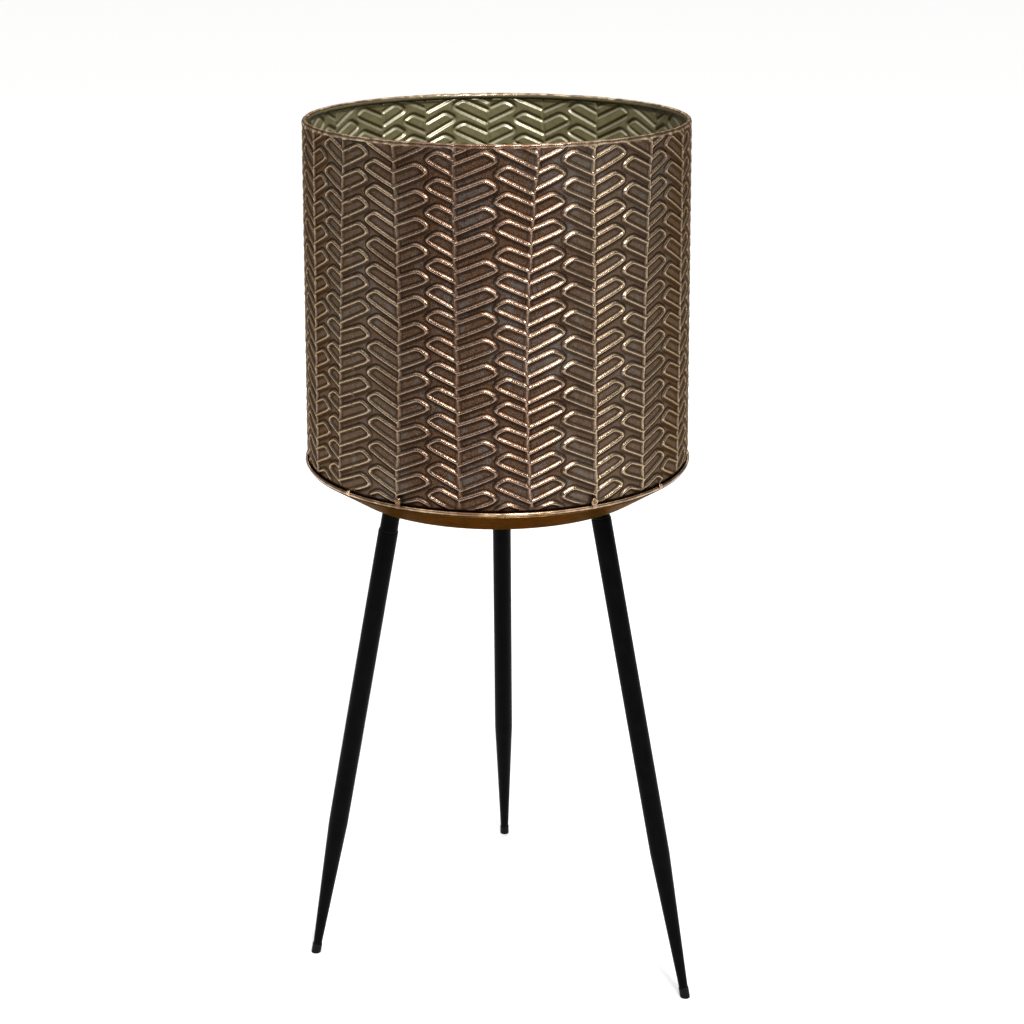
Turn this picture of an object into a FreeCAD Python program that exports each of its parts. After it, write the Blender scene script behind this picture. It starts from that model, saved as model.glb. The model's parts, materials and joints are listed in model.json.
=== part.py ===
"""Drum-shaped planter pot of embossed sheet metal on three screw-in tubular legs.

Millimetres, +Z up, floor at z = 0. The pot is built about its own axis and then moved sideways so
that the origin is the bottom centre of the whole object's box. Every piece is written to
parts/NODE.step.
"""
import FreeCAD, Part
import math
import os

from FreeCAD import Vector

# ---- driving dimensions ---------------------------------------------------------------------

# Sheet-metal drum, measured over the crests of its embossing
DRUM_TOP_RADIUS = 150.0
DRUM_FOOT_RADIUS = 153.8
DRUM_TOP_Z = 715.0
SHEET = 0.8
RIM_BEAD_RADIUS = 2.2
RIM_WIRE_RADIUS = 1.35
RIM_CURL_DEG = 300.0
LAP_WIDTH = 12.0
LAP_AZIMUTH_DEG = -50.0

# Shallow conical dish under the drum
DISH_BOTTOM_Z = 420.6
DISH_BOTTOM_RADIUS = 122.0
DISH_CORNER_RADIUS = 3.0
DISH_EDGE_INSET = 0.3
DISH_EDGE_GAP = 0.25
LIP_Z = 443.6
LIP_RING_RADIUS = 153.6
LIP_WIRE_RADIUS = 1.5

# The drum's foot is tucked inside the lip ring
TUCK_TOP_Z = 446.8
TUCK_BEND_Z = 445.4
TUCK_BOTTOM_Z = 442.6
TUCK_OUTER_RADIUS = 151.8

# Tabs that fold up over the lip ring and are riveted to the drum
TAB_AZIMUTHS_DEG = (-152.0, -134.0, -46.0, -28.0, 28.0, 53.5, 134.0, 152.0)
TAB_WIDTH = 6.0
TAB_THICKNESS = 1.0
TAB_GAP = 0.1
TAB_TOP_Z = 452.4
TAB_RIVET_Z = 449.6
TAB_RIVET_SHANK_RADIUS = 1.2
TAB_RIVET_HEAD_RADIUS = 2.6
TAB_RIVET_HEAD_HEIGHT = 1.6
TAB_RIVET_TAIL_RADIUS = 2.2
TAB_RIVET_TAIL_THICKNESS = 0.8

# Leg sockets: a round plate riveted under the dish, with a stub welded to it
SOCKET_CIRCLE_RADIUS = 92.9
SOCKET_PLATE_RADIUS = 20.0
SOCKET_PLATE_THICKNESS = 1.5
STUB_RADIUS = 7.25
SOCKET_RIVET_CIRCLE = 14.5
SOCKET_RIVETS_PER_PLATE = 3
SOCKET_RIVET_RADIUS = 2.0
SOCKET_RIVET_HEAD_RADIUS = 3.3
SOCKET_RIVET_HEAD_HEIGHT = 1.5

# Legs: azimuth 0 is the front (-Y) and grows towards +X. The drop is how far below the dish a
# leg's top face is, along the leg.
LEG_SPLAY_DEG = 11.94
LEG_AZIMUTHS_DEG = {"left": -61.85, "right": 58.15, "back": 178.15}
LEG_DROP = {"left": 29.0, "right": 16.0, "back": 16.0}
LEFT_FOOT_XY = (-157.7, -25.6)
LEG_RADIUS = 8.0
LEG_WALL = 1.2
LEG_TIP_RADIUS = 3.7
LEG_TAPER_LENGTH = 128.0
WASHER_THICKNESS = 0.8
WASHER_RADIUS = 7.6
STUD_RADIUS = 4.0
STUD_PROJECTION = 11.5
STUD_LENGTH = 30.0
STUD_CHAMFER = 1.0
THREAD_CLEARANCE = 0.06
WASHER_CLEARANCE = 0.2
SOCKET_BORE_DEPTH = 12.3
INSERT_FLANGE = 1.5
INSERT_CHAMFER = 0.5
INSERT_LENGTH = 16.0
CAP_RADIUS = 4.1
CAP_HEIGHT = 9.0
CAP_CHAMFER = 0.8
CAP_STEM_LENGTH = 8.0

# Room past a cut, so that cutters run clear of what they cut
CUT_MARGIN = 20.0

UP = Vector(0, 0, 1)
AXIS_BASE = Vector(0, 0, 0)


# ---- helpers --------------------------------------------------------------------------------

def polar(radius, azimuth_deg, z):
    """A point at a radius and azimuth about the pot's axis; azimuth 0 is -Y, +90 is +X."""
    azimuth = math.radians(azimuth_deg)
    return Vector(radius * math.sin(azimuth), -radius * math.cos(azimuth), z)


def revolve_profile(points):
    """Turn a closed outline of (radius, z) points about the Z axis."""
    corners = [Vector(radius, 0, z) for radius, z in points]
    wire = Part.makePolygon(corners + corners[:1])
    return Part.Face(wire).revolve(AXIS_BASE, UP, 360)


def from_front(shape, azimuth_deg):
    """Turn a shape built at azimuth 90 (+X) round to another azimuth."""
    turned = shape.copy()
    turned.rotate(AXIS_BASE, UP, azimuth_deg - 90.0)
    return turned


def drum_radius(z):
    """Radius over the drum's crests at a height, above the tucked foot."""
    share = (DRUM_TOP_Z - z) / (DRUM_TOP_Z - TUCK_TOP_Z)
    return DRUM_TOP_RADIUS + (DRUM_FOOT_RADIUS - DRUM_TOP_RADIUS) * share


def cylinder_along(start, direction, radius, length):
    """A round bar that starts at a point and runs along a direction."""
    return Part.makeCylinder(radius, length, start, direction)


# ---- pot ------------------------------------------------------------------------------------

def rim_centre():
    """Centre of the rim bead's section, as (radius, z)."""
    return DRUM_TOP_RADIUS - RIM_BEAD_RADIUS, DRUM_TOP_Z - RIM_BEAD_RADIUS


def rim_curl():
    """The drum's top edge, curled inwards round the rim wire."""
    radius, z = rim_centre()
    centre = Vector(radius, 0, z)
    inner_radius = RIM_BEAD_RADIUS - SHEET

    def arc(arc_radius):
        def at(degrees):
            angle = math.radians(degrees)
            return centre + Vector(arc_radius * math.cos(angle), 0, arc_radius * math.sin(angle))
        return Part.Arc(at(0), at(RIM_CURL_DEG / 2), at(RIM_CURL_DEG)).toShape()

    outer = arc(RIM_BEAD_RADIUS)
    inner = arc(inner_radius)
    ends = [
        Part.makeLine(inner.Vertexes[0].Point, outer.Vertexes[0].Point),
        Part.makeLine(outer.Vertexes[-1].Point, inner.Vertexes[-1].Point),
    ]
    wire = Part.Wire(Part.__sortEdges__([outer, inner] + ends))
    return Part.Face(wire).revolve(AXIS_BASE, UP, 360)


def lap_seam():
    """Inner layer of the drum's lapped vertical seam."""
    top_z = DRUM_TOP_Z - 2 * RIM_BEAD_RADIUS - SHEET
    rings = []
    for z in (TUCK_TOP_Z, top_z):
        outer = drum_radius(z) - SHEET
        rings.append((outer, z))
    inner = [(radius - SHEET, z) for radius, z in reversed(rings)]
    layer = revolve_profile(rings + inner)
    wedge = Part.makeBox(2 * DRUM_TOP_RADIUS, LAP_WIDTH, DRUM_TOP_Z, Vector(0, -LAP_WIDTH / 2, 0))
    strip = layer.common(wedge)
    return from_front(strip, LAP_AZIMUTH_DEG)


def pot_wall():
    """Rolled sheet drum: curled rim, slightly flared wall, tucked foot and lapped seam."""
    rim_z = rim_centre()[1]
    outer = [
        (DRUM_TOP_RADIUS, rim_z),
        (DRUM_FOOT_RADIUS, TUCK_TOP_Z),
        (TUCK_OUTER_RADIUS, TUCK_BEND_Z),
        (TUCK_OUTER_RADIUS, TUCK_BOTTOM_Z),
    ]
    inner = [(radius - SHEET, z) for radius, z in reversed(outer)]
    wall = revolve_profile(outer + inner)
    wall = wall.fuse([rim_curl(), lap_seam()]).removeSplitter()
    holes = [tab_rivet_shank(azimuth) for azimuth in TAB_AZIMUTHS_DEG]
    return wall.cut(holes)


def rim_wire():
    radius, z = rim_centre()
    return Part.makeTorus(radius, RIM_WIRE_RADIUS, Vector(0, 0, z), UP)


def base_dish():
    """Pressed dish: flat floor, conical side, and an edge that carries the lip ring."""
    edge_radius = LIP_RING_RADIUS - DISH_EDGE_INSET
    edge_z = LIP_Z - LIP_WIRE_RADIUS - DISH_EDGE_GAP
    slope = math.atan2(edge_z - DISH_BOTTOM_Z - SHEET, edge_radius - DISH_BOTTOM_RADIUS)
    shift_r = SHEET * math.sin(slope)
    shift_z = SHEET * math.cos(slope)
    tangent = DISH_CORNER_RADIUS * math.tan(slope / 2)
    mid = slope / 2
    corner = Vector(DISH_BOTTOM_RADIUS - tangent, 0, DISH_BOTTOM_Z + DISH_CORNER_RADIUS)

    def corner_arc(radius):
        ends = []
        for angle in (0.0, mid, slope):
            ends.append(corner + Vector(radius * math.sin(angle), 0, -radius * math.cos(angle)))
        return ends

    under = corner_arc(DISH_CORNER_RADIUS)
    above = corner_arc(DISH_CORNER_RADIUS - SHEET)
    tip_under = Vector(edge_radius + shift_r, 0, edge_z - shift_z)
    tip_above = Vector(edge_radius, 0, edge_z)
    centre_under = Vector(0, 0, DISH_BOTTOM_Z)
    centre_above = Vector(0, 0, DISH_BOTTOM_Z + SHEET)
    edges = [
        Part.makeLine(centre_under, under[0]),
        Part.Arc(*under).toShape(),
        Part.makeLine(under[2], tip_under),
        Part.makeLine(tip_under, tip_above),
        Part.makeLine(tip_above, above[2]),
        Part.Arc(*above).toShape(),
        Part.makeLine(above[0], centre_above),
        Part.makeLine(centre_above, centre_under),
    ]
    dish = Part.Face(Part.Wire(edges)).revolve(AXIS_BASE, UP, 360)
    return dish.cut(all_socket_rivet_shanks())


def lip_ring():
    """Wire ring brazed over the seam between the drum and the dish."""
    return Part.makeTorus(LIP_RING_RADIUS, LIP_WIRE_RADIUS, Vector(0, 0, LIP_Z), UP)


def tab_face_radius():
    """Radius of a tab's outer face where its rivet goes through."""
    return drum_radius(TAB_RIVET_Z) + TAB_GAP + TAB_THICKNESS


def lip_tab(azimuth_deg):
    """One strap from under the lip ring, over it, and flat up the drum, with a round end."""
    out_radius = LIP_RING_RADIUS + LIP_WIRE_RADIUS + TAB_GAP
    flat_radius = drum_radius(TAB_RIVET_Z) + TAB_GAP
    inner = [
        (LIP_RING_RADIUS + 2 * TAB_GAP, LIP_Z - LIP_WIRE_RADIUS - TAB_GAP),
        (out_radius, LIP_Z - LIP_WIRE_RADIUS * 0.5),
        (out_radius, LIP_Z + LIP_WIRE_RADIUS * 0.8),
        (flat_radius, TAB_RIVET_Z - TAB_RIVET_HEAD_RADIUS),
        (flat_radius, TAB_TOP_Z),
    ]
    outer = [(radius + TAB_THICKNESS, z) for radius, z in reversed(inner)]
    corners = [Vector(radius, -TAB_WIDTH / 2, z) for radius, z in inner + outer]
    strap = Part.Face(Part.makePolygon(corners + corners[:1])).extrude(Vector(0, TAB_WIDTH, 0))
    round_z = TAB_TOP_Z - TAB_WIDTH / 2
    mask_start = Vector(0, 0, round_z)
    mask = Part.makeCylinder(TAB_WIDTH / 2, 2 * LIP_RING_RADIUS, mask_start, Vector(1, 0, 0))
    below = Part.makeBox(2 * LIP_RING_RADIUS, TAB_WIDTH, round_z, Vector(0, -TAB_WIDTH / 2, 0))
    strap = strap.common(mask.fuse(below))
    return from_front(strap, azimuth_deg).cut(tab_rivet_shank(azimuth_deg))


def tab_rivet_shank(azimuth_deg):
    tail_radius = drum_radius(TAB_RIVET_Z) - SHEET
    start = Vector(tail_radius, 0, TAB_RIVET_Z)
    length = tab_face_radius() - tail_radius
    shank = cylinder_along(start, Vector(1, 0, 0), TAB_RIVET_SHANK_RADIUS, length)
    return from_front(shank, azimuth_deg)


def tab_rivet(azimuth_deg):
    """Round-head rivet through a tab and the drum, clenched flat inside."""
    height = TAB_RIVET_HEAD_HEIGHT
    sphere_radius = (TAB_RIVET_HEAD_RADIUS ** 2 + height ** 2) / (2 * height)
    face = tab_face_radius()
    tail_face = drum_radius(TAB_RIVET_Z) - SHEET - TAB_GAP
    outward = Vector(1, 0, 0)
    dome_centre = Vector(face + height - sphere_radius, 0, TAB_RIVET_Z)
    dome = Part.makeSphere(sphere_radius, dome_centre)
    slab = cylinder_along(Vector(face, 0, TAB_RIVET_Z), outward, sphere_radius, height)
    head = dome.common(slab)
    shank_start = Vector(tail_face, 0, TAB_RIVET_Z)
    shank = cylinder_along(shank_start, outward, TAB_RIVET_SHANK_RADIUS, face - tail_face)
    tail_start = Vector(tail_face - TAB_RIVET_TAIL_THICKNESS, 0, TAB_RIVET_Z)
    tail_size = (TAB_RIVET_TAIL_RADIUS, TAB_RIVET_TAIL_THICKNESS)
    tail = cylinder_along(tail_start, outward, *tail_size)
    return from_front(head.fuse([shank, tail]), azimuth_deg)


# ---- leg sockets ----------------------------------------------------------------------------

def socket_centre(side):
    """Where a leg's axis meets the underside of the dish."""
    return polar(SOCKET_CIRCLE_RADIUS, LEG_AZIMUTHS_DEG[side], DISH_BOTTOM_Z)


def foot_centre(side):
    """Where a leg's axis meets the floor. The left leg leans sideways; the others splay out."""
    if side == "left":
        return Vector(LEFT_FOOT_XY[0], LEFT_FOOT_XY[1], 0)
    foot_radius = SOCKET_CIRCLE_RADIUS + DISH_BOTTOM_Z * math.tan(math.radians(LEG_SPLAY_DEG))
    return polar(foot_radius, LEG_AZIMUTHS_DEG[side], 0)


def leg_axis(side):
    return (foot_centre(side) - socket_centre(side)).normalize()


def along_leg(side, distance):
    return socket_centre(side) + leg_axis(side) * distance


def leg_length(side):
    return (foot_centre(side) - socket_centre(side)).Length


def socket_rivet_places(side):
    centre = socket_centre(side)
    places = []
    for index in range(SOCKET_RIVETS_PER_PLATE):
        turn = LEG_AZIMUTHS_DEG[side] + 360.0 / SOCKET_RIVETS_PER_PLATE * index
        places.append(centre + polar(SOCKET_RIVET_CIRCLE, turn, 0))
    return places


def socket_rivet_shanks(side):
    length = SHEET + SOCKET_PLATE_THICKNESS
    drop = Vector(0, 0, SOCKET_PLATE_THICKNESS)
    shanks = []
    for place in socket_rivet_places(side):
        shanks.append(cylinder_along(place - drop, UP, SOCKET_RIVET_RADIUS, length))
    return shanks


def all_socket_rivet_shanks():
    return [shank for side in LEG_AZIMUTHS_DEG for shank in socket_rivet_shanks(side)]


def socket_rivet(shank):
    """A solid rivet with a flat-domed head on both sides of its shank."""
    box = shank.BoundBox
    place = Vector(box.Center.x, box.Center.y, 0)
    radius = SOCKET_RIVET_HEAD_RADIUS
    height = SOCKET_RIVET_HEAD_HEIGHT
    top_start = place + Vector(0, 0, box.ZMax)
    bottom_start = place + Vector(0, 0, box.ZMin)
    top = Part.makeCone(radius, SOCKET_RIVET_RADIUS, height, top_start, UP)
    bottom = Part.makeCone(radius, SOCKET_RIVET_RADIUS, height, bottom_start, -UP)
    return shank.fuse([top, bottom])


def socket_plate(side):
    start = socket_centre(side) - Vector(0, 0, SOCKET_PLATE_THICKNESS)
    plate = cylinder_along(start, UP, SOCKET_PLATE_RADIUS, SOCKET_PLATE_THICKNESS)
    return plate.cut(socket_rivet_shanks(side))


def socket_stub(side):
    """Round stub welded to the plate in line with the leg, with a threaded blind hole."""
    axis = leg_axis(side)
    end = LEG_DROP[side] - WASHER_THICKNESS
    start = along_leg(side, -CUT_MARGIN)
    stub = cylinder_along(start, axis, STUB_RADIUS, CUT_MARGIN + end)
    corner = socket_centre(side) + Vector(-CUT_MARGIN, -CUT_MARGIN, -SOCKET_PLATE_THICKNESS)
    above = Part.makeBox(2 * CUT_MARGIN, 2 * CUT_MARGIN, 2 * CUT_MARGIN, corner)
    bore_start = along_leg(side, end - SOCKET_BORE_DEPTH)
    bore_radius = STUD_RADIUS + THREAD_CLEARANCE
    bore = cylinder_along(bore_start, axis, bore_radius, SOCKET_BORE_DEPTH + CUT_MARGIN)
    return stub.cut([above, bore])


# ---- legs -----------------------------------------------------------------------------------

def turned_on_leg(side, points):
    """Turn a closed outline of (radius, distance down the leg) points about a leg's axis."""
    corners = [Vector(radius, 0, distance) for radius, distance in points]
    wire = Part.makePolygon(corners + corners[:1])
    turned = Part.Face(wire).revolve(AXIS_BASE, UP, 360)
    rotation = FreeCAD.Rotation(UP, leg_axis(side))
    turned.Placement = FreeCAD.Placement(socket_centre(side), rotation)
    return turned


def leg_washer(side):
    top = LEG_DROP[side] - WASHER_THICKNESS
    bottom = LEG_DROP[side]
    hole = STUD_RADIUS + WASHER_CLEARANCE
    outline = [(hole, top), (WASHER_RADIUS, top), (WASHER_RADIUS, bottom), (hole, bottom)]
    return turned_on_leg(side, outline)


def leg_stud(side):
    """Threaded stud fixed in the leg's insert, with a chamfered upper end."""
    chamfer = STUD_CHAMFER
    top = LEG_DROP[side] - WASHER_THICKNESS - STUD_PROJECTION
    bottom = top + STUD_LENGTH
    outline = [
        (0, top),
        (STUD_RADIUS - chamfer, top),
        (STUD_RADIUS, top + chamfer),
        (STUD_RADIUS, bottom),
        (0, bottom),
    ]
    return turned_on_leg(side, outline)


def leg_insert(side):
    """Flanged plug welded into the top of the tube; the stud screws into it."""
    top = LEG_DROP[side]
    bottom = top + INSERT_LENGTH
    shoulder = top + INSERT_FLANGE
    body_radius = LEG_RADIUS - LEG_WALL
    outline = [
        (STUD_RADIUS, top),
        (LEG_RADIUS - INSERT_CHAMFER, top),
        (LEG_RADIUS, top + INSERT_CHAMFER),
        (LEG_RADIUS, shoulder),
        (body_radius, shoulder),
        (body_radius, bottom),
        (STUD_RADIUS, bottom),
    ]
    return turned_on_leg(side, outline)


def cap_top(side):
    return leg_length(side) - CAP_HEIGHT


def leg_tube(side):
    """Round tube, straight for most of its length and swaged to a slim tip."""
    top = LEG_DROP[side] + INSERT_FLANGE
    taper_start = leg_length(side) - LEG_TAPER_LENGTH
    bottom = cap_top(side)
    outline = [
        (LEG_RADIUS, top),
        (LEG_RADIUS, taper_start),
        (LEG_TIP_RADIUS, bottom),
        (LEG_TIP_RADIUS - LEG_WALL, bottom),
        (LEG_RADIUS - LEG_WALL, taper_start),
        (LEG_RADIUS - LEG_WALL, top),
    ]
    return turned_on_leg(side, outline)


def foot_cap(side):
    """Plastic end plug: a stem inside the tip and a short foot cut flat on the floor."""
    chamfer = CAP_CHAMFER
    top = cap_top(side)
    stem_radius = LEG_TIP_RADIUS - LEG_WALL
    outline = [
        (0, top - CAP_STEM_LENGTH),
        (stem_radius, top - CAP_STEM_LENGTH),
        (stem_radius, top),
        (CAP_RADIUS - chamfer, top),
        (CAP_RADIUS, top + chamfer),
        (CAP_RADIUS, top + CAP_HEIGHT + CAP_RADIUS),
        (0, top + CAP_HEIGHT + CAP_RADIUS),
    ]
    foot = foot_centre(side)
    corner = foot + Vector(-CUT_MARGIN, -CUT_MARGIN, -2 * CUT_MARGIN)
    floor = Part.makeBox(2 * CUT_MARGIN, 2 * CUT_MARGIN, 2 * CUT_MARGIN, corner)
    return turned_on_leg(side, outline).cut(floor)


# ---- assembly -------------------------------------------------------------------------------

def build_nodes():
    nodes = {
        "pot_wall": pot_wall(),
        "rim_wire": rim_wire(),
        "base_dish": base_dish(),
        "lip_ring": lip_ring(),
        "lip_tabs": Part.makeCompound([lip_tab(azimuth) for azimuth in TAB_AZIMUTHS_DEG]),
        "tab_rivets": Part.makeCompound([tab_rivet(azimuth) for azimuth in TAB_AZIMUTHS_DEG]),
        "socket_rivets": Part.makeCompound(
            [socket_rivet(shank) for shank in all_socket_rivet_shanks()]
        ),
    }
    makers = {
        "socket_plate": socket_plate,
        "socket_stub": socket_stub,
        "leg_washer": leg_washer,
        "leg_stud": leg_stud,
        "leg_insert": leg_insert,
        "leg_tube": leg_tube,
        "foot_cap": foot_cap,
    }
    for side in LEG_AZIMUTHS_DEG:
        for piece, make in makers.items():
            nodes[f"{piece}_{side}"] = make(side)
    return nodes


def main():
    nodes = build_nodes()
    box = Part.makeCompound(list(nodes.values())).optimalBoundingBox(False)
    shift = Vector(-box.Center.x, -box.Center.y, 0)
    os.makedirs("parts", exist_ok=True)
    for name, shape in nodes.items():
        shape.translate(shift)
        shape.exportStep(f"parts/{name}.step")
        print(name, "valid" if shape.isValid() else "INVALID", len(shape.Solids), "solids")
    print("size", box.XLength, box.YLength, box.ZLength, "lowest", box.ZMin)
    print("pot axis at", shift.x, shift.y)
    for side in LEG_AZIMUTHS_DEG:
        joint = along_leg(side, LEG_DROP[side]) + shift
        foot = foot_centre(side) + shift
        print(side, "axis", tuple(leg_axis(side)), "joint", tuple(joint), "foot", tuple(foot))


main()
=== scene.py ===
import json
import math

import bpy
import numpy as np
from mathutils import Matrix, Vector


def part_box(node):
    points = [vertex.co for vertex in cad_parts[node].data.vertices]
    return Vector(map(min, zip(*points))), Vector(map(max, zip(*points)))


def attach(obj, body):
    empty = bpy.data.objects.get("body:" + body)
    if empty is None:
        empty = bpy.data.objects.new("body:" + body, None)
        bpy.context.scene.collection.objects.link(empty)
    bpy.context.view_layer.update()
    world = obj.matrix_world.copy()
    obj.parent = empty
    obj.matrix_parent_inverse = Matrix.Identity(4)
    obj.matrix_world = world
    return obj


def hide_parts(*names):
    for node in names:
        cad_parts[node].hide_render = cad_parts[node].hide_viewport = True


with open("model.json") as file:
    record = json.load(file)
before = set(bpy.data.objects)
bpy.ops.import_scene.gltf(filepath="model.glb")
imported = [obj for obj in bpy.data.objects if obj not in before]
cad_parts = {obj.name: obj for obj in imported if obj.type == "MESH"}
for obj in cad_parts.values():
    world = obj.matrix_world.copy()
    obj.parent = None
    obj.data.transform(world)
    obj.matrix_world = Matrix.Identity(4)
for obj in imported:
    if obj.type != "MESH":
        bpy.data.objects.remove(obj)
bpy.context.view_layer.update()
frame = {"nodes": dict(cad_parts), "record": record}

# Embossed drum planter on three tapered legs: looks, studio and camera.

MM = 0.001

# ---- places read from the frame -------------------------------------------------------------

wall_low, wall_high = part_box("pot_wall")
ring_low, ring_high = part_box("lip_ring")
wire_low, wire_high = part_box("rim_wire")
AXIS = (ring_low + ring_high) / 2
RIM_Z = wall_high.z
FOOT_Z = wall_low.z
FOOT_RADIUS = (wall_high.x - wall_low.x) / 2
BEAD_RADIUS = RIM_Z - (wire_low.z + wire_high.z) / 2
RIM_RADIUS = (wire_high.x - wire_low.x - wire_high.z + wire_low.z) / 2 + BEAD_RADIUS
LIP_WIRE = (ring_high.z - ring_low.z) / 2
LIP_RADIUS = (ring_high.x - ring_low.x) / 2 - LIP_WIRE

# ---- embossing ------------------------------------------------------------------------------

SHEET = 0.8 * MM
RELIEF = 1.8 * MM
WALL_COLUMNS = 1152
OUTER_STEP = 0.85 * MM

# The inside is meshed finely near the rim, and more coarsely and a little thicker below that
INNER_FINE = 85 * MM
INNER_STEP = 1.3 * MM
INNER_BLEND = 15 * MM
INNER_BACKING = 0.3 * MM

# The curled rim: how far it may sink over the hollows, its rows, and the painted ones among them
BEAD_SLACK = 0.55 * MM
BEAD_ROWS = 22
PAINTED_BEAD_ROWS = 9

# Painted shadow cast down by a ridge: rows to look up, and the fall in lift that leaves none
SHADE_STEPS = ((1, 0.10), (2, 0.22), (3, 0.40), (4, 0.62))
TUCK_RADIUS = 151.8 * MM
TUCK_BEND_Z = FOOT_Z + 2.8 * MM
TUCK_TOP_Z = FOOT_Z + 4.2 * MM

# The leaves are pressed in columns, and the columns differ a little. Each row is a stem's azimuth
# from the front at the top, middle and foot of the drum, the azimuth of the line where the leaf
# tips meet to its right, and the height of that line's first tip, as a share of the leaf pitch.
COLUMNS = [
    (-83.0, -84.5, -85.0, -76.0, 0.75),
    (-65.5, -66.0, -66.5, -57.3, 0.27),
    (-48.0, -50.5, -52.2, -39.0, 0.71),
    (-30.0, -28.3, -30.0, -19.6, 0.16),
    (-12.0, -11.4, -10.6, -0.4, 0.64),
    (11.6, 8.2, 9.4, 18.5, 0.13),
    (27.4, 28.0, 28.8, 37.8, 0.71),
    (48.9, 46.4, 46.0, 56.0, 0.28),
    (68.3, 67.4, 66.0, 75.0, 0.73),
    (83.0, 84.0, 85.0, 93.5, 0.22),
    (101.0, 102.5, 101.5, 111.5, 0.68),
    (119.6, 121.5, 122.0, 133.0, 0.19),
    (146.0, 144.5, 142.5, 155.8, 0.66),
    (165.1, 163.5, 164.0, 174.3, 0.16),
    (182.2, 184.0, 182.5, 194.2, 0.70),
    (204.1, 202.5, 203.5, 211.5, 0.20),
    (219.9, 219.5, 221.5, 230.5, 0.67),
    (241.0, 239.5, 238.0, 249.0, 0.17),
    (259.5, 258.0, 259.0, 267.5, 0.64),
]
LEAF_PITCH = 19.05 * MM
LEAF_OVERLAP = 0.4 * MM
LEAF_SLOPE_RIGHT = 0.42
LEAF_SLOPE_LEFT = 0.47
RIDGE_HALF_WIDTH = 2.25 * MM
STEM_HALF_WIDTH = 1.9 * MM
STEM_RUBBED = 0.82
STEM_DARK = 0.64
DARK_STEMS = (2, 3, 4)
SEAM_AZIMUTH = -45.4
SEAM_STEP = 0.5 * MM


def new_rng(seed):
    return np.random.default_rng(seed)


def smoothstep(low, high, x):
    t = np.clip((x - low) / (high - low), 0.0, 1.0)
    return t * t * (3.0 - 2.0 * t)


def ring_noise(rng, azimuth, z, waves, scale_z, turns):
    """Smooth noise on the drum, from a few random waves that close round it."""
    total = np.zeros(np.broadcast(azimuth, z).shape)
    for _ in range(waves):
        around = rng.integers(1, turns)
        along = rng.uniform(-1.0, 1.0) / scale_z
        phase = rng.uniform(0, 2 * math.pi)
        total += np.sin(around * azimuth + 2 * math.pi * along * z + phase)
    return total / math.sqrt(waves)


def segment_distance(px, py, ax, ay, bx, by):
    """Distance from points to a segment whose ends may differ for each point."""
    dx, dy = bx - ax, by - ay
    t = ((px - ax) * dx + (py - ay) * dy) / np.maximum(dx * dx + dy * dy, 1e-12)
    t = np.clip(t, 0.0, 1.0)
    return np.hypot(px - ax - t * dx, py - ay - t * dy)


def leaf_field(x, y, length, slope):
    """A leaf loop's outline distance, and how deep a point is inside it.

    x is the distance out from the stem and y the height above the leaf's tip. The leaf rises
    outwards, and its end slants down from a soft shoulder to the rounded tip.
    """
    over = 0.95 * slope
    low_y = -3.2 * MM - slope * (length - 5.0 * MM)
    high_y = 4.9 * MM - over * (length - 10.5 * MM)
    outline = [
        (-3.0 * MM, low_y - 3.0 * MM * slope),
        (length - 5.0 * MM, -3.2 * MM),
        (length - 2.4 * MM, -1.9 * MM),
        (length - 0.8 * MM, -0.6 * MM),
        (length - 0.5 * MM, 0.6 * MM),
        (length - 1.6 * MM, 2.0 * MM),
        (length - 5.6 * MM, 4.3 * MM),
        (length - 8.0 * MM, 5.1 * MM),
        (length - 10.5 * MM, 4.9 * MM),
        (-3.0 * MM, high_y - 3.0 * MM * over),
    ]
    distance = np.full(x.shape, 1.0)
    for (ax, ay), (bx, by) in zip(outline[:-1], outline[1:]):
        distance = np.minimum(distance, segment_distance(x, y, ax, ay, bx, by))
    below = y + 3.2 * MM + slope * (length - 5.0 * MM - x)
    above = 4.9 * MM - over * (length - 10.5 * MM - x) - y
    end = (length - 1.6 * MM - x) * 0.5 + (2.0 * MM - y) * 0.87
    inside = np.minimum(np.minimum(below, above), np.minimum(end, length - 0.5 * MM - x))
    return distance, inside


def ridge(distance, half_width):
    """Rounded ridge, 1 on its centre line and 0 past its half width."""
    t = np.clip(distance / half_width, 0.0, 1.0)
    return (0.5 + 0.5 * np.cos(math.pi * t)) ** 0.85


def stem_azimuth(column, share):
    """A stem's azimuth at a share of the drum's height, 0 at the foot and 1 at the top."""
    top, middle, foot = column[:3]
    bend = 2 * (top + foot - 2 * middle)
    return foot + (top - foot) * share + bend * share * (share - 1)


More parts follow.
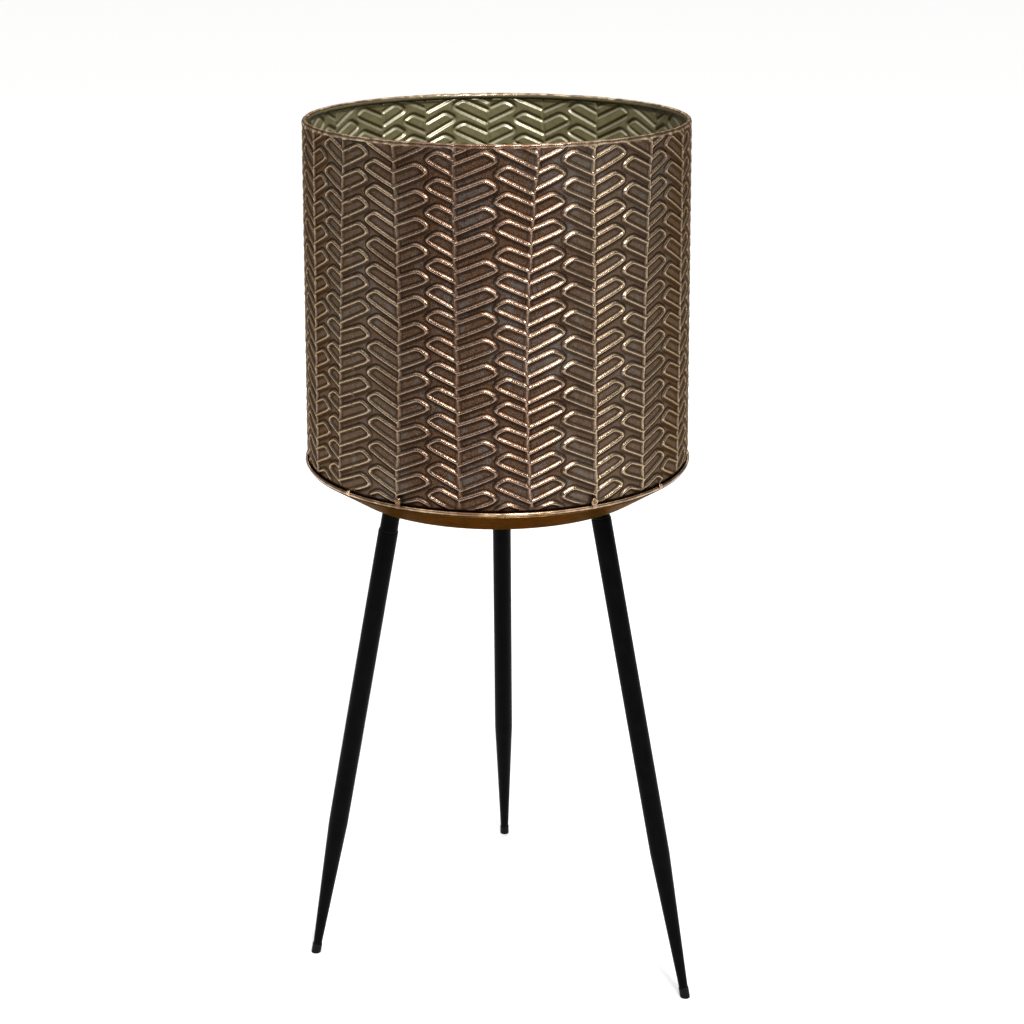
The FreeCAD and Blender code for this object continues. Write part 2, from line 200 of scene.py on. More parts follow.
def emboss(azimuth, z):
    """Relief, lift as a share of it, and nearness to a ridge's foot, at azimuths (radians) and heights."""
    rng = new_rng(11)
    radius = (RIM_RADIUS + FOOT_RADIUS) / 2
    around = 2 * math.pi * radius
    count = len(COLUMNS)
    rows = int((RIM_Z - FOOT_Z) / LEAF_PITCH) + 4
    jitter = np.clip(rng.normal(0.0, 1.0, (count, 2, rows + 2, 4)), -2, 2)
    wave_phase = rng.uniform(0, 2 * math.pi, count)
    share = (z - FOOT_Z) / (RIM_Z - FOOT_Z)

    u = azimuth * radius
    u = np.where(u < math.radians(COLUMNS[0][1] - 3) * radius, u + around, u)
    height = np.zeros(u.shape)
    pillow = np.zeros(u.shape)
    nearest = np.full(u.shape, 1.0)
    for index in range(-1, count + 1):
        left, right = index % count, (index + 1) % count
        left_turn = around * math.floor(index / count)
        right_turn = around * math.floor((index + 1) / count)
        sway = 0.5 * MM * np.sin(2 * math.pi * z / (31 * MM) + wave_phase[left])
        sway_right = 0.5 * MM * np.sin(2 * math.pi * z / (31 * MM) + wave_phase[right])
        left_u = np.radians(stem_azimuth(COLUMNS[left], share)) * radius + left_turn + sway
        right_u = np.radians(stem_azimuth(COLUMNS[right], share)) * radius + right_turn + sway_right
        line_u = math.radians(COLUMNS[left][3]) * radius + left_turn
        here = (u >= left_u) & (u < right_u)
        if not here.any():
            continue
        point, high = u[here], (z - FOOT_Z)[here]
        out, back = point - left_u[here], right_u[here] - point
        near = np.minimum(out, back)
        power = 4.0
        left_stem = STEM_DARK if left in DARK_STEMS else STEM_RUBBED
        right_stem = STEM_DARK if right in DARK_STEMS else STEM_RUBBED
        stem_height = np.where(out < back, left_stem, right_stem)
        local = (stem_height * ridge(near, STEM_HALF_WIDTH)) ** power
        deep = np.full(out.shape, -1.0)
        first_tip = COLUMNS[left][4] * LEAF_PITCH
        sides = (
            (0, out, line_u - left_u[here], LEAF_SLOPE_RIGHT, first_tip, left),
            (1, back, right_u[here] - line_u, LEAF_SLOPE_LEFT, first_tip + LEAF_PITCH / 2, right),
        )
        for side, along, reach, slope, shift, stem in sides:
            middle = -slope * (reach - along) - 1.0 * MM
            row = np.floor((high - shift - middle) / LEAF_PITCH).astype(int)
            for step in (0, 1):
                k = row + step
                wobble = jitter[stem, side, np.clip(k + 2, 0, rows + 1)]
                length = reach + LEAF_OVERLAP + 0.35 * MM * wobble[:, 0]
                tilt = slope * (1.0 + 0.05 * wobble[:, 1])
                y = high - shift - k * LEAF_PITCH - 0.3 * MM * wobble[:, 2]
                distance, inside = leaf_field(along, y, length, tilt)
                strength = 1.0 + 0.05 * wobble[:, 3]
                local += (ridge(distance, RIDGE_HALF_WIDTH) * strength) ** power
                near = np.minimum(near, distance)
                deep = np.maximum(deep, inside)
        height[here] = np.minimum(local ** (1 / power), 1.08)
        pillow[here] = smoothstep(0.8 * MM, 3.4 * MM, deep)
        nearest[here] = near

    # The lapped seam crushes the leaves beside the stem it follows
    past = u - math.radians(SEAM_AZIMUTH) * radius
    past = np.where(past > around / 2, past - around, past)
    crush = np.exp(-((past + 0.5 * MM) / (1.5 * MM)) ** 2)
    rough = smoothstep(-11 * MM, -8 * MM, past) * (1 - smoothstep(1 * MM, 3 * MM, past))
    grain = ring_noise(rng, azimuth, z, 30, 4 * MM, 260)
    patchy = 0.5 + 0.5 * ring_noise(rng, azimuth, z, 9, 25 * MM, 40)
    height = height * (1 - 0.65 * crush * np.clip(patchy, 0, 1)) + 0.13 * grain * rough * height
    drop = np.where(past > 0, np.exp(-past / (20 * MM)), 0.0) * smoothstep(0, 1.0 * MM, past)

    fade_foot = smoothstep(0.0, 2.5 * MM, z - TUCK_TOP_Z)
    hammer = 0.035 * ring_noise(rng, azimuth, z, 40, 3.5 * MM, 300)
    lift = np.clip(np.maximum(height * (1 + hammer), 0.17 * pillow), 0.0, 1.0)
    lift = lift * (0.4 + 0.6 * fade_foot)
    dents = ring_noise(rng, azimuth, z, 14, 60 * MM, 22)
    pits = ring_noise(rng, azimuth, z, 40, 4 * MM, 240)
    low = np.clip(0.05 * dents + 0.035 * pits, -0.2, 0.1) * (1 - height) * MM
    relief = lift * (RELIEF - 0.1 * MM) + low - drop * SEAM_STEP
    # Nearness to a ridge's foot, which the finishes darken as dark patina there and also as painted shade
    foot_of_ridge = np.exp(-((nearest - 2.5 * MM) / (0.8 * MM)) ** 2) * (1 - lift)
    return relief, lift, foot_of_ridge


def drum_radius(z):
    share = (RIM_Z - z) / (RIM_Z - TUCK_TOP_Z)
    return RIM_RADIUS + (FOOT_RADIUS - RIM_RADIUS) * share


def grid_mesh(name, rings):
    """A mesh from an array of points [profile, around, xyz] that closes both ways."""
    rows, columns, _ = rings.shape
    low = np.arange(rows * columns).reshape(rows, columns)
    low_next = np.roll(low, -1, axis=1)
    high, high_next = np.roll(low, -1, axis=0), np.roll(low_next, -1, axis=0)
    quads = np.stack([low, low_next, high_next, high], axis=-1).reshape(-1, 4)
    mesh = bpy.data.meshes.new(name)
    mesh.vertices.add(rows * columns)
    mesh.vertices.foreach_set("co", rings.reshape(-1).astype(np.float32))
    mesh.loops.add(quads.size)
    mesh.loops.foreach_set("vertex_index", quads.reshape(-1).astype(np.int32))
    mesh.polygons.add(len(quads))
    mesh.polygons.foreach_set("loop_start", np.arange(0, quads.size, 4, dtype=np.int32))
    mesh.polygons.foreach_set("loop_total", np.full(len(quads), 4, dtype=np.int32))
    mesh.polygons.foreach_set("use_smooth", np.ones(len(quads), dtype=bool))
    mesh.update(calc_edges=True)
    mesh.validate()
    piece = bpy.data.objects.new(name, mesh)
    bpy.context.scene.collection.objects.link(piece)
    return piece


def paint(piece, channels):
    """Stores three per-vertex numbers as the colour attribute "surface"."""
    values = np.ones((len(piece.data.vertices), 4), dtype=np.float32)
    for place, channel in enumerate(channels):
        values[:, place] = np.asarray(channel).reshape(-1)
    layer = piece.data.color_attributes.new("surface", "FLOAT_COLOR", "POINT")
    layer.data.foreach_set("color", values.reshape(-1))


def make_wall():
    """The embossed sheet: outside, curled rim, inside and tucked foot as one closed surface."""
    azimuth = np.linspace(-math.pi, math.pi, WALL_COLUMNS, endpoint=False)
    bead_z = RIM_Z - BEAD_RADIUS
    outer_rows = int((bead_z - TUCK_TOP_Z) / OUTER_STEP)
    outer_z = np.linspace(TUCK_TOP_Z, bead_z - 1.5 * MM, outer_rows)
    inner_top = RIM_Z - 2 * BEAD_RADIUS - SHEET
    fine_low = inner_top - INNER_FINE
    fine_z = np.linspace(inner_top, fine_low, int(INNER_FINE / OUTER_STEP))
    coarse_rows = int((fine_low - TUCK_TOP_Z) / INNER_STEP)
    inner_z = np.concatenate([fine_z[:-1], np.linspace(fine_low, TUCK_TOP_Z, coarse_rows)])
    bead_angles = np.radians(np.linspace(-35, 285, BEAD_ROWS))
    radii, heights, lifts, shades, rises = [], [], [], [], []

    def add(radius, z, lift, shade, rise):
        columns = ((radii, radius), (heights, z), (lifts, lift), (shades, shade), (rises, rise))
        for column, value in columns:
            column.append(np.broadcast_to(value, azimuth.shape))

    def relief_rows(levels, offset):
        relief, lift, foot = emboss(*np.meshgrid(azimuth, levels))
        rise = np.gradient(relief, axis=0) / np.gradient(levels)[:, None]
        # Shade channel: painted shade along each ridge's foot, partly dark patina there too, and painted
        # shadow cast down from the ridge above
        shade = 0.6 * foot
        for rows_up, fall in SHADE_STEPS:
            above = np.concatenate([lift[rows_up:], lift[-rows_up:]])
            shade = np.maximum(shade, above - lift - fall)
        # Inside, the shade channel holds painted shade along the ridges' feet and a band of painted shadow
        # under the curled rim
        if offset > 0:
            under_rim = smoothstep(inner_top - 4 * MM, inner_top - 0.5 * MM, levels)
            shade = np.maximum(0.45 * foot, under_rim[:, None])
        for row, z in enumerate(levels):
            radius = drum_radius(z) - RELIEF + relief[row] - offset
            if offset > 0:
                radius -= INNER_BACKING * float(smoothstep(fine_low, fine_low - INNER_BLEND, z))
            add(radius, z, lift[row], shade[row], rise[row])

    # The tucked foot sits inside the lip ring and is painted in full shade
    add(TUCK_RADIUS, FOOT_Z, 0.0, 1.0, 0.0)
    add(TUCK_RADIUS, TUCK_BEND_Z, 0.0, 1.0, 0.0)
    relief_rows(outer_z, 0.0)
    rng = new_rng(5)
    dent = 0.25 * MM * np.minimum(ring_noise(rng, azimuth, 0.0, 24, 1.0, 70), 0.0)
    worn = 0.62 + 0.22 * ring_noise(rng, azimuth, 0.0, 30, 1.0, 120)
    edge_radius, edge_lift, edge_shade = radii[-1], lifts[-1], shades[-1]
    for angle in bead_angles:
        over = float(smoothstep(0.0, math.radians(70), angle))
        thin = BEAD_RADIUS - BEAD_SLACK * (1 - np.clip(edge_lift, 0, 1))
        reach = BEAD_RADIUS * over + thin * (1 - over) + dent * max(math.sin(angle), 0.0)
        out = RIM_RADIUS - BEAD_RADIUS + reach * math.cos(angle)
        if angle < 0:
            out = np.maximum(out, edge_radius)
        # Painted shade on the curl's underside, outside below the bead and inside under it; the fixed rise
        # of -0.2 also sets how the finishes' painted light treats the curl
        hidden = edge_shade if angle < 0 else 1.0
        add(out, bead_z + reach * math.sin(angle), worn, hidden * max(-math.sin(angle), 0.0), -0.2)
    first_painted = len(radii) - PAINTED_BEAD_ROWS
    relief_rows(inner_z, SHEET)
    add(TUCK_RADIUS - SHEET, TUCK_BEND_Z, 0.0, 0.0, 0.0)
    add(TUCK_RADIUS - SHEET, FOOT_Z, 0.0, 0.0, 0.0)

    radius, z = np.array(radii), np.array(heights)
    x = AXIS.x + radius * np.sin(azimuth)
    y = AXIS.y - radius * np.cos(azimuth)
    wall = grid_mesh("embossed_wall", np.stack([x, y, z], axis=-1))
    paint(wall, (np.array(lifts), np.array(shades), np.array(rises)))
    material_index = np.zeros((len(radii), WALL_COLUMNS), dtype=np.int32)
    material_index[first_painted:] = 1
    wall.data.materials.append(antique_copper())
    wall.data.materials.append(olive_paint())
    wall.data.polygons.foreach_set("material_index", material_index.reshape(-1))
    return wall


# ---- lip ------------------------------------------------------------------------------------

LIP_Z = (ring_low.z + ring_high.z) / 2


def make_ring(finish):
    """The rolled lip: a wire ring worn a little uneven all the way round."""
    rng = new_rng(31)
    azimuth = np.linspace(-math.pi, math.pi, 720, endpoint=False)
    thin = 0.14 * MM * np.clip(ring_noise(rng, azimuth, 0.0, 30, 1.0, 130), -1, 0)
    wave = 0.12 * MM * np.clip(ring_noise(rng, azimuth, 0.0, 8, 1.0, 14), -1, 1)
    rows = []
    for angle in np.linspace(0, 2 * math.pi, 16, endpoint=False):
        radius = LIP_RADIUS + (LIP_WIRE + thin) * math.cos(angle)
        height = LIP_Z + (LIP_WIRE + thin - np.abs(wave)) * math.sin(angle)
        x, y = AXIS.x + radius * np.sin(azimuth), AXIS.y - radius * np.cos(azimuth)
        rows.append(np.stack([x, y, height], axis=-1))
    ring = grid_mesh("worn_lip_ring", np.array(rows))
    ring.data.materials.append(finish)
    return ring


def capped_mesh(name, sections):
    """A closed skin over a list of sections, each a ring of points, with both ends filled."""
    count = len(sections[0])
    points = [point for section in sections for point in section]
    faces = []
    for row in range(len(sections) - 1):
        for place in range(count):
            after = (place + 1) % count
            low, high = row * count, (row + 1) * count
            faces.append((low + place, low + after, high + after, high + place))
    faces.append(tuple(reversed(range(count))))
    last = (len(sections) - 1) * count
    faces.append(tuple(last + place for place in range(count)))
    mesh = bpy.data.meshes.new(name)
    mesh.from_pydata(points, [], faces)
    for polygon in mesh.polygons:
        polygon.use_smooth = True
    piece = bpy.data.objects.new(name, mesh)
    bpy.context.scene.collection.objects.link(piece)
    return piece


def drum_point(azimuth, radius, z, across):
    """A point beside the drum: azimuth and radius of its tab, height and sideways shift."""
    east, south = math.sin(azimuth), math.cos(azimuth)
    return (AXIS.x + radius * east + across * south, AXIS.y - radius * south + across * east, z)


def tab_sections(azimuth, path, rng):
    """Rounded strap along a path of (radius, z, half width, half thickness) in millimetres."""
    path = np.array(path)
    steps = np.linspace(0, len(path) - 1, 26)
    path = np.stack([np.interp(steps, range(len(path)), path[:, k]) for k in range(4)], axis=-1)
    for _ in range(2):
        path[1:-1] = (path[:-2] + 2 * path[1:-1] + path[2:]) / 4
    slope = np.gradient(path[:, :2], axis=0)
    slope /= np.linalg.norm(slope, axis=1)[:, None]
    sections = []
    for (radius, z, width, thick), (along_r, along_z) in zip(path, slope):
        width = width * (1 + 0.06 * rng.normal())
        section = []
        for angle in np.linspace(0, 2 * math.pi, 20, endpoint=False):
            across = width * math.cos(angle)
            depth = thick * math.sin(angle)
            spot_r, spot_z = radius + depth * along_z, z - depth * along_r
            section.append(drum_point(azimuth, spot_r * MM, spot_z * MM, across * MM))
        sections.append(section)
    return sections


def head_sections(azimuth, z, reach, profile):
    """Rivet head turned about the drum's radial direction."""
    sections = []
    for outward, share in profile:
        section = []
        for angle in np.linspace(0, 2 * math.pi, 24, endpoint=False):
            ring = reach * share * (1 + 0.05 * math.sin(2 * angle + 5 * azimuth))
            across, up = ring * math.cos(angle), ring * math.sin(angle)
            out = HEAD_RADIUS + outward - HEAD_TILT * up
            section.append(drum_point(azimuth, out * MM, (z + up) * MM, across * MM))
        sections.append(section)
    return sections


# Azimuths of the tabs in degrees, and the one whose rivet is a hollow eyelet
TALL_TABS = (-28.6, 27.6, 134.0, -152.0)
SHORT_TABS = (-46.8, 53.5, 152.0, -134.0)
EYELET_TAB = 27.6

# Tab paths: radius, height, half width and half thickness, all in millimetres
TALL_PATH = [
    (152.8, 442.5, 1.9, 0.5), (154.7, 442.7, 2.0, 0.6), (155.5, 443.8, 1.9, 0.6),
    (155.2, 445.4, 1.8, 0.65), (154.8, 447.0, 2.4, 0.8), (154.5, 448.8, 2.5, 0.8),
    (154.3, 450.6, 1.3, 0.5),
]
SHORT_PATH = [
    (152.8, 442.5, 1.8, 0.4), (154.7, 442.7, 2.0, 0.45), (155.5, 443.8, 2.0, 0.5),
    (155.1, 445.4, 1.9, 0.5), (154.4, 446.9, 1.1, 0.4),
]

# Rivet heads: radius from the drum's axis and tilt, then height and reach for each kind of tab, in
# millimetres, then profiles as (millimetres outwards, share of reach)
HEAD_RADIUS = 155.0
HEAD_TILT = -0.1
TALL_HEAD = (448.4, 2.75)
SHORT_HEAD = (445.2, 1.6)
DOME = [(-0.5, 0.80), (0.0, 1.0), (0.6, 1.0), (1.1, 0.84), (1.45, 0.55), (1.6, 0.2)]
EYELET = [(-0.5, 0.80), (0.0, 1.0), (0.7, 1.0), (1.15, 0.84), (1.15, 0.64), (0.4, 0.44), (0.2, 0.15)]


def make_tabs(finish):
    """The folded tabs of the lip and their rivet heads."""
    tab_parts, head_parts = [], []
    rng = new_rng(41)
    heads = [(angle, TALL_PATH, *TALL_HEAD) for angle in TALL_TABS]
    heads += [(angle, SHORT_PATH, *SHORT_HEAD) for angle in SHORT_TABS]
    for degrees, path, head_z, reach in heads:
        azimuth = math.radians(degrees)
        profile = EYELET if degrees == EYELET_TAB else DOME
        sections = head_sections(azimuth, head_z, reach, profile)
        tab_parts.append(capped_mesh("tab", tab_sections(azimuth, path, rng)))
        head_parts.append(capped_mesh("head", sections))
    return join("worn_tabs", tab_parts, finish), join("worn_rivet_heads", head_parts, finish)


def join(name, parts, finish):
    """One object from several meshes."""
    mesh = bpy.data.meshes.new(name)
    points, faces = [], []
    for part in parts:
        start = len(points)
        points += [tuple(vertex.co) for vertex in part.data.vertices]
        faces += [tuple(start + place for place in polygon.vertices) for polygon in part.data.polygons]
        bpy.data.objects.remove(part)
    mesh.from_pydata(points, [], faces)
    for polygon in mesh.polygons:
        polygon.use_smooth = True
    mesh.materials.append(finish)
    piece = bpy.data.objects.new(name, mesh)
    bpy.context.scene.collection.objects.link(piece)
    return piece


# ---- materials ------------------------------------------------------------------------------

# The patina is copper at the front, a little left of centre, and brass from this turn (radians) on
COPPER_SHIFT = 12 * MM
COPPER_SPREAD = 1.1


class Nodes:
    """Short calls for building a material's node tree."""

    def __init__(self, name):
        self.material = bpy.data.materials.new(name)
        self.material.use_nodes = True
        self.tree = self.material.node_tree
        self.shader = self.tree.nodes["Principled BSDF"]
        self.coordinates = self.tree.nodes.new("ShaderNodeTexCoord").outputs["Object"]

    def link(self, source, target):
        self.tree.links.new(source, target)

    def set(self, **values):
        for key, value in values.items():
            self.shader.inputs[key.replace("_", " ")].default_value = value

    def noise(self, scale, detail=3.0, roughness=0.55, stretch=None):
        node = self.tree.nodes.new("ShaderNodeTexNoise")
        node.inputs["Scale"].default_value = scale
        node.inputs["Detail"].default_value = detail
        node.inputs["Roughness"].default_value = roughness
        source = self.coordinates
        if stretch:
            mapping = self.tree.nodes.new("ShaderNodeMapping")
            mapping.inputs["Scale"].default_value = stretch
            self.link(source, mapping.inputs["Vector"])
            source = mapping.outputs["Vector"]
        self.link(source, node.inputs["Vector"])
        return node.outputs["Fac"]

    def math(self, operation, a, b=None, clamp=False):
        node = self.tree.nodes.new("ShaderNodeMath")
        node.operation = operation
        node.use_clamp = clamp
        for place, value in enumerate((a, b)):
            if value is None:
                continue
            if isinstance(value, (int, float)):
                node.inputs[place].default_value = value
            else:
                self.link(value, node.inputs[place])
        return node.outputs[0]

    def spread(self, value, low, high, to_low=0.0, to_high=1.0):
        node = self.tree.nodes.new("ShaderNodeMapRange")
        node.interpolation_type = "SMOOTHSTEP"
        for place, number in zip(("From Min", "From Max", "To Min", "To Max"), (low, high, to_low, to_high)):
            node.inputs[place].default_value = number
        self.link(value, node.inputs["Value"])
        return node.outputs["Result"]

    def mix(self, factor, a, b):
        node = self.tree.nodes.new("ShaderNodeMix")
        node.data_type = "RGBA"
        self.link(factor, node.inputs["Factor"])
        for socket, value in ((node.inputs[6], a), (node.inputs[7], b)):
            if isinstance(value, tuple):
                socket.default_value = (*value, 1.0)
            else:
                self.link(value, socket)
        return node.outputs[2]

    def side_share(self):
        """0 at the front of the drum, rising to 1 at its sides and back."""
        split = self.tree.nodes.new("ShaderNodeSeparateXYZ")
        self.link(self.coordinates, split.inputs["Vector"])
        east = self.math("SUBTRACT", split.outputs["X"], AXIS.x - COPPER_SHIFT)
        north = self.math("SUBTRACT", split.outputs["Y"], AXIS.y)
        turn = self.math("ABSOLUTE", self.math("ARCTAN2", east, self.math("MULTIPLY", north, -1.0)))
        return self.math("DIVIDE", turn, COPPER_SPREAD, clamp=True)

    def surface(self):
        """The painted channels of a piece: lift, shade under a ridge, and rise with height."""
        attribute = self.tree.nodes.new("ShaderNodeAttribute")
        attribute.attribute_name = "surface"
        split = self.tree.nodes.new("ShaderNodeSeparateColor")
        self.link(attribute.outputs["Color"], split.inputs["Color"])
        return split.outputs[0], split.outputs[1], split.outputs[2]

    def bump(self, height, strength, distance):
        node = self.tree.nodes.new("ShaderNodeBump")
        node.inputs["Strength"].default_value = strength
        node.inputs["Distance"].default_value = distance
        self.link(height, node.inputs["Height"])
        self.link(node.outputs["Normal"], self.shader.inputs["Normal"])

    def colour(self, source):
        self.link(source, self.shader.inputs["Base Color"])

    def roughness(self, source):
        self.link(source, self.shader.inputs["Roughness"])


def antique_copper():
    """Dark patina in the hollows; patina and painted shade along each ridge's foot; painted shadow under
    each ridge, painted shade on its lower flank and a painted highlight on its upper one; rubbed copper and
    brass on the ridges.
    """
    n = Nodes("antique_copper")
    n.set(Metallic=1.0, Coat_Weight=0.03, Coat_Roughness=0.10, Specular_Tint=(0.48, 0.41, 0.35, 1.0))
    lift, shade, rise = n.surface()
    fine = n.noise(1100, 4, 0.7)
    medium = n.noise(190, 4, 0.65)
    broad = n.noise(24, 3, 0.5)
    around = n.side_share()
    worn = n.math("ADD", lift, n.math("MULTIPLY", n.math("SUBTRACT", fine, 0.5), 0.45))
    worn = n.math("ADD", worn, n.math("MULTIPLY", n.math("SUBTRACT", medium, 0.5), 0.5))
    # Painted light: worn climbs on each ridge's upper flank and drops on its lower flank, so the upper flank
    # is painted lighter and the lower darker, as if lit from above
    worn = n.math("SUBTRACT", worn, n.math("MULTIPLY", n.math("MAXIMUM", rise, -0.8), 0.22))
    brown = n.mix(n.spread(fine, 0.3, 0.7), (0.024, 0.010, 0.004), (0.140, 0.078, 0.046))
    grey = n.mix(n.spread(fine, 0.3, 0.7), (0.040, 0.030, 0.024), (0.150, 0.128, 0.114))
    hollow = n.mix(n.spread(n.math("ADD", medium, broad), 0.98, 1.22), brown, grey)
    brassy = n.spread(n.math("ADD", around, n.math("MULTIPLY", broad, 0.5)), 0.45, 0.85)
    hollow = n.mix(n.math("MULTIPLY", brassy, 0.3), hollow, (0.200, 0.152, 0.112))
    flank = n.mix(brassy, (0.120, 0.066, 0.040), (0.195, 0.138, 0.092))
    copper = n.mix(n.spread(fine, 0.3, 0.7), (0.115, 0.063, 0.038), (0.45, 0.320, 0.240))
    brass = n.mix(n.spread(fine, 0.3, 0.7), (0.300, 0.212, 0.135), (0.62, 0.475, 0.325))
    colour = n.mix(n.spread(worn, 0.12, 0.50), hollow, flank)
    colour = n.mix(n.spread(worn, 0.45, 0.95), colour, n.mix(brassy, copper, brass))
    # Painted shade: the shade channel darkens ridge feet (partly patina) and lays painted shadow under each
    # ridge, and rise darkens each lower flank as painted shade
    shadow = n.math("MAXIMUM", n.spread(shade, 0.05, 0.65, 0.0, 0.85), n.spread(rise, 0.10, 0.70, 0.0, 0.75))
    # The colour of the painted shade, a little lighter where the patina turns to brass
    dark = n.mix(brassy, (0.009, 0.004, 0.002), (0.022, 0.013, 0.0075))
    n.colour(n.mix(shadow, colour, dark))
    n.roughness(n.spread(worn, 0.15, 0.8, 0.44, 0.21))
    n.bump(n.math("ADD", fine, medium), 0.38, 0.4 * MM)
    return n.material


def olive_paint():
    """Satin olive-gold paint inside the drum."""
    n = Nodes("olive_paint")
    n.set(Metallic=0.45, Coat_Weight=0.5, Coat_Roughness=0.22)
    medium = n.noise(120, 3)
    fine = n.noise(700, 3)
    _, shade, rise = n.surface()
    paint_colour = n.mix(n.spread(medium, 0.3, 0.7), (0.225, 0.196, 0.096), (0.275, 0.244, 0.126))
    # Painted highlight: the paint lightens where the sheet inside faces up, as if catching light from above
    paint_colour = n.mix(n.spread(rise, 0.10, 0.50, 0.0, 0.6), paint_colour, (0.46, 0.43, 0.31))
    # Painted shade: darker along the ridges' feet, under the curled rim and where the sheet inside faces
    # down
    painted_shade = n.math("MAXIMUM", n.spread(shade, 0.1, 0.8, 0.0, 0.85), n.spread(rise, -0.55, -0.08, 0.80, 0.0))
    n.colour(n.mix(painted_shade, paint_colour, (0.050, 0.038, 0.010)))
    n.roughness(n.spread(fine, 0.3, 0.7, 0.34, 0.42))
    n.bump(fine, 0.12, 0.2 * MM)
    return n.material


def antique_brass():
    """Satin dark brass of the dish, with cloudy tarnish and fine scratches."""
    n = Nodes("antique_brass")
    n.set(Metallic=1.0, Specular_Tint=(0.26, 0.16, 0.06, 1.0))
    cloud = n.noise(95, 5, 0.65)
    fine = n.noise(800, 3, 0.6)
    streak = n.noise(60, 3, 0.5, stretch=(1, 1, 9))
    base = n.mix(n.spread(cloud, 0.35, 0.68), (0.152, 0.097, 0.027), (0.094, 0.056, 0.013))
    n.colour(n.mix(n.spread(streak, 0.58, 0.8), base, (0.28, 0.19, 0.062)))
    n.roughness(n.spread(cloud, 0.3, 0.7, 0.34, 0.48))
    n.bump(fine, 0.2, 0.2 * MM)
    return n.material


def bright_copper():
    """Rubbed copper of the lip ring, tabs and rivets."""
    n = Nodes("bright_copper")
    n.set(Metallic=1.0, Coat_Weight=0.3, Coat_Roughness=0.2)
    cloud = n.noise(48, 4, 0.6)
    fine = n.noise(900, 3, 0.6)
    n.colour(n.mix(n.spread(cloud, 0.36, 0.62), (0.56, 0.375, 0.235), (0.17, 0.092, 0.045)))
    n.roughness(n.spread(cloud, 0.3, 0.7, 0.18, 0.32))
    n.bump(fine, 0.18, 0.2 * MM)
    return n.material


def black_paint():
    """Satin black powder coat with a faint orange peel."""
    n = Nodes("black_paint")
    n.set(Specular_IOR_Level=0.025)
    fine = n.noise(1400, 3, 0.6)
    medium = n.noise(90, 3, 0.5)
    n.colour(n.mix(n.spread(medium, 0.3, 0.7), (0.0012, 0.0011, 0.0012), (0.0022, 0.0021, 0.0022)))
    n.roughness(n.spread(medium, 0.3, 0.7, 0.34, 0.44))
    n.bump(fine, 0.12, 0.15 * MM)
    return n.material


def black_plastic():
    """Matt black plastic of the leg tips and the thin washers in the leg joints."""
    n = Nodes("black_plastic")
    n.set(Specular_IOR_Level=0.1)
    fine = n.noise(1800, 2, 0.5)
    n.colour(n.mix(n.spread(fine, 0.3, 0.7), (0.0020, 0.0020, 0.0020), (0.0035, 0.0035, 0.0035)))
    n.roughness(n.spread(fine, 0.3, 0.7, 0.5, 0.62))
    n.bump(fine, 0.2, 0.1 * MM)
    return n.material


def zinc_steel():
    """Plated steel of the studs and the rim wire."""
    n = Nodes("zinc_steel")
    n.set(Metallic=1.0)
    cloud = n.noise(250, 4, 0.6)
    n.colour(n.mix(n.spread(cloud, 0.3, 0.7), (0.40, 0.40, 0.41), (0.24, 0.24, 0.245)))
    n.roughness(n.spread(cloud, 0.3, 0.7, 0.28, 0.42))
    n.bump(cloud, 0.1, 0.1 * MM)
    return n.material


def dress_cad_nodes(copper):
    """Gives each CAD node that stays visible the finish of its slot."""
    finishes = {
        "antique_brass": antique_brass(),
        "bright_copper": copper,
        "black_paint": black_paint(),
        "black_plastic": black_plastic(),
        "steel": zinc_steel(),
    }
    for part in frame["record"]["subparts"]:
        finish = finishes.get(part["material_slot"])
        if finish is None:
            continue
        node = frame["nodes"][part["node"]]
        if not node.material_slots:
            node.data.materials.append(finish)
        for place in range(len(node.material_slots)):
            node.material_slots[place].material = finish


# ---- studio ---------------------------------------------------------------------------------

FLOOR_SIZE = 60.0
CAMERA_DISTANCE = 9.8324 * RIM_RADIUS
CAMERA_HEIGHT = 6.062 * RIM_RADIUS
CAMERA_PITCH = 0.2891
CAMERA_YAW = 0.0079
CAMERA_LENS = 67.0184
CAMERA_SHIFT = -0.08984
LIGHT_AIM = (AXIS.x, AXIS.y, 0.58)


def make_camera():
    data = bpy.data.cameras.new("camera")
    data.sensor_width = 36.0
    data.lens = CAMERA_LENS
    data.shift_y = CAMERA_SHIFT
    data.clip_end = 200.0
    camera = bpy.data.objects.new("camera", data)
    camera.location = (AXIS.x, AXIS.y - CAMERA_DISTANCE, CAMERA_HEIGHT)
    camera.rotation_euler = (math.pi / 2 - CAMERA_PITCH, 0.0, -CAMERA_YAW)
    bpy.context.scene.collection.objects.link(camera)
    bpy.context.scene.camera = camera


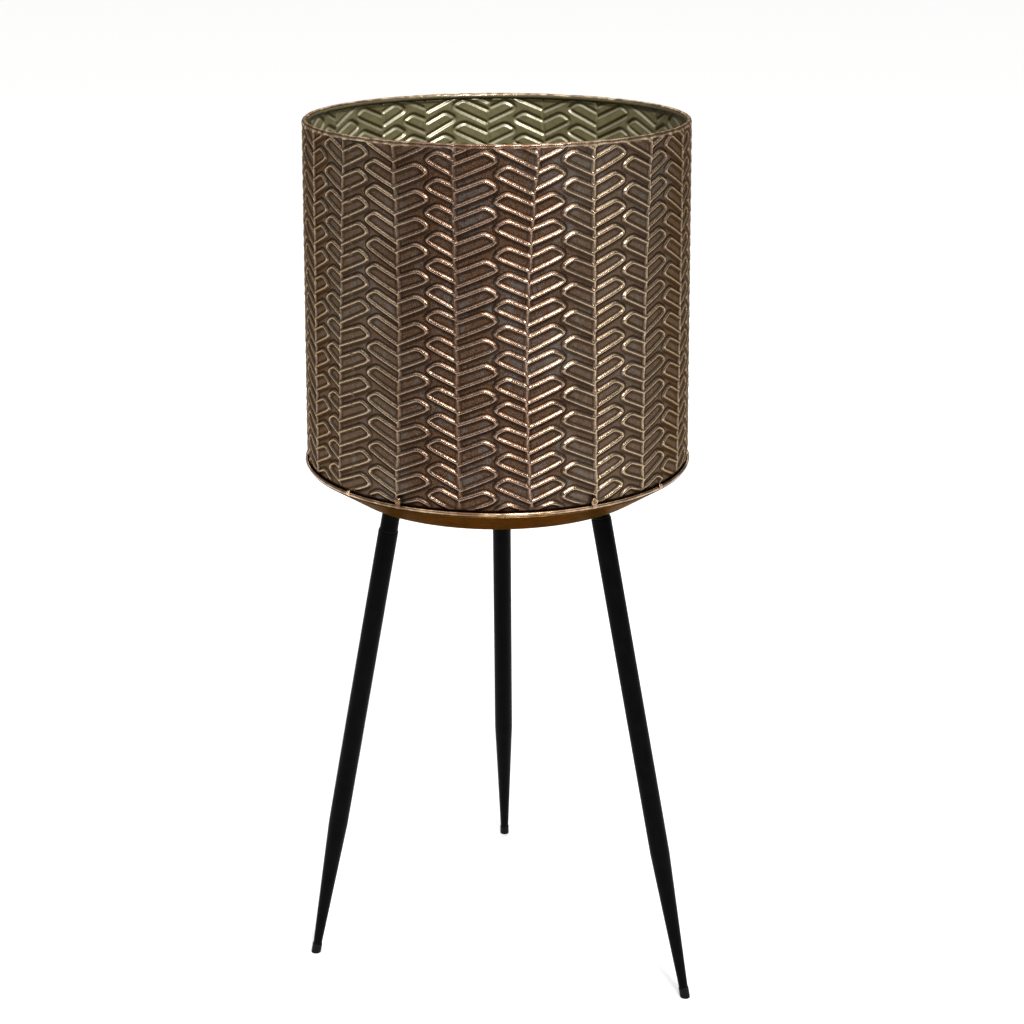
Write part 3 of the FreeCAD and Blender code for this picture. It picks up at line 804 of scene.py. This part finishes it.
def make_floor():
    half = FLOOR_SIZE / 2
    mesh = bpy.data.meshes.new("floor")
    corners = [(-half, -half, 0), (half, -half, 0), (half, half, 0), (-half, half, 0)]
    mesh.from_pydata(corners, [], [(0, 1, 2, 3)])
    floor = bpy.data.objects.new("floor", mesh)
    bpy.context.scene.collection.objects.link(floor)
    n = Nodes("floor")
    n.set(Base_Color=(0.93, 0.93, 0.925, 1.0), Roughness=0.9)
    mesh.materials.append(n.material)


def area_light(name, place, size, power):
    data = bpy.data.lights.new(name, "AREA")
    data.shape = "RECTANGLE"
    data.size, data.size_y = size
    data.energy = power
    light = bpy.data.objects.new(name, data)
    light.location = place
    aim = Vector(LIGHT_AIM) - Vector(place)
    light.rotation_euler = aim.to_track_quat("-Z", "Y").to_euler()
    bpy.context.scene.collection.objects.link(light)


def make_lights():
    view = bpy.context.scene.view_settings
    view.view_transform = "Standard"
    view.look = "None"
    world = bpy.data.worlds.new("studio")
    world.use_nodes = True
    background = world.node_tree.nodes["Background"]
    background.inputs["Color"].default_value = (1.0, 1.0, 1.0, 1.0)
    background.inputs["Strength"].default_value = 0.25
    bpy.context.scene.world = world
    ceiling = bpy.data.lights.new("ceiling", "SUN")
    ceiling.angle = math.radians(85)
    ceiling.energy = 2.6
    ceiling_light = bpy.data.objects.new("ceiling", ceiling)
    ceiling_light.location = (0.0, 0.0, 4.0)
    bpy.context.scene.collection.objects.link(ceiling_light)
    area_light("key", (0.66, -2.15, 2.5), (0.7, 0.5), 78)
    area_light("back", (0.0, 2.4, 2.0), (2.0, 1.2), 20)


# ---- build ----------------------------------------------------------------------------------

make_camera()
make_floor()
make_lights()
copper = bright_copper()
wall = make_wall()
ring = make_ring(copper)
tabs, heads = make_tabs(copper)
for piece, node, slot in (
    (wall, "pot_wall", "embossed_copper"),
    (ring, "lip_ring", "bright_copper"),
    (tabs, "lip_tabs", "bright_copper"),
    (heads, "tab_rivets", "bright_copper"),
):
    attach(piece, "pot")
    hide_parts(node)
dress_cad_nodes(copper)
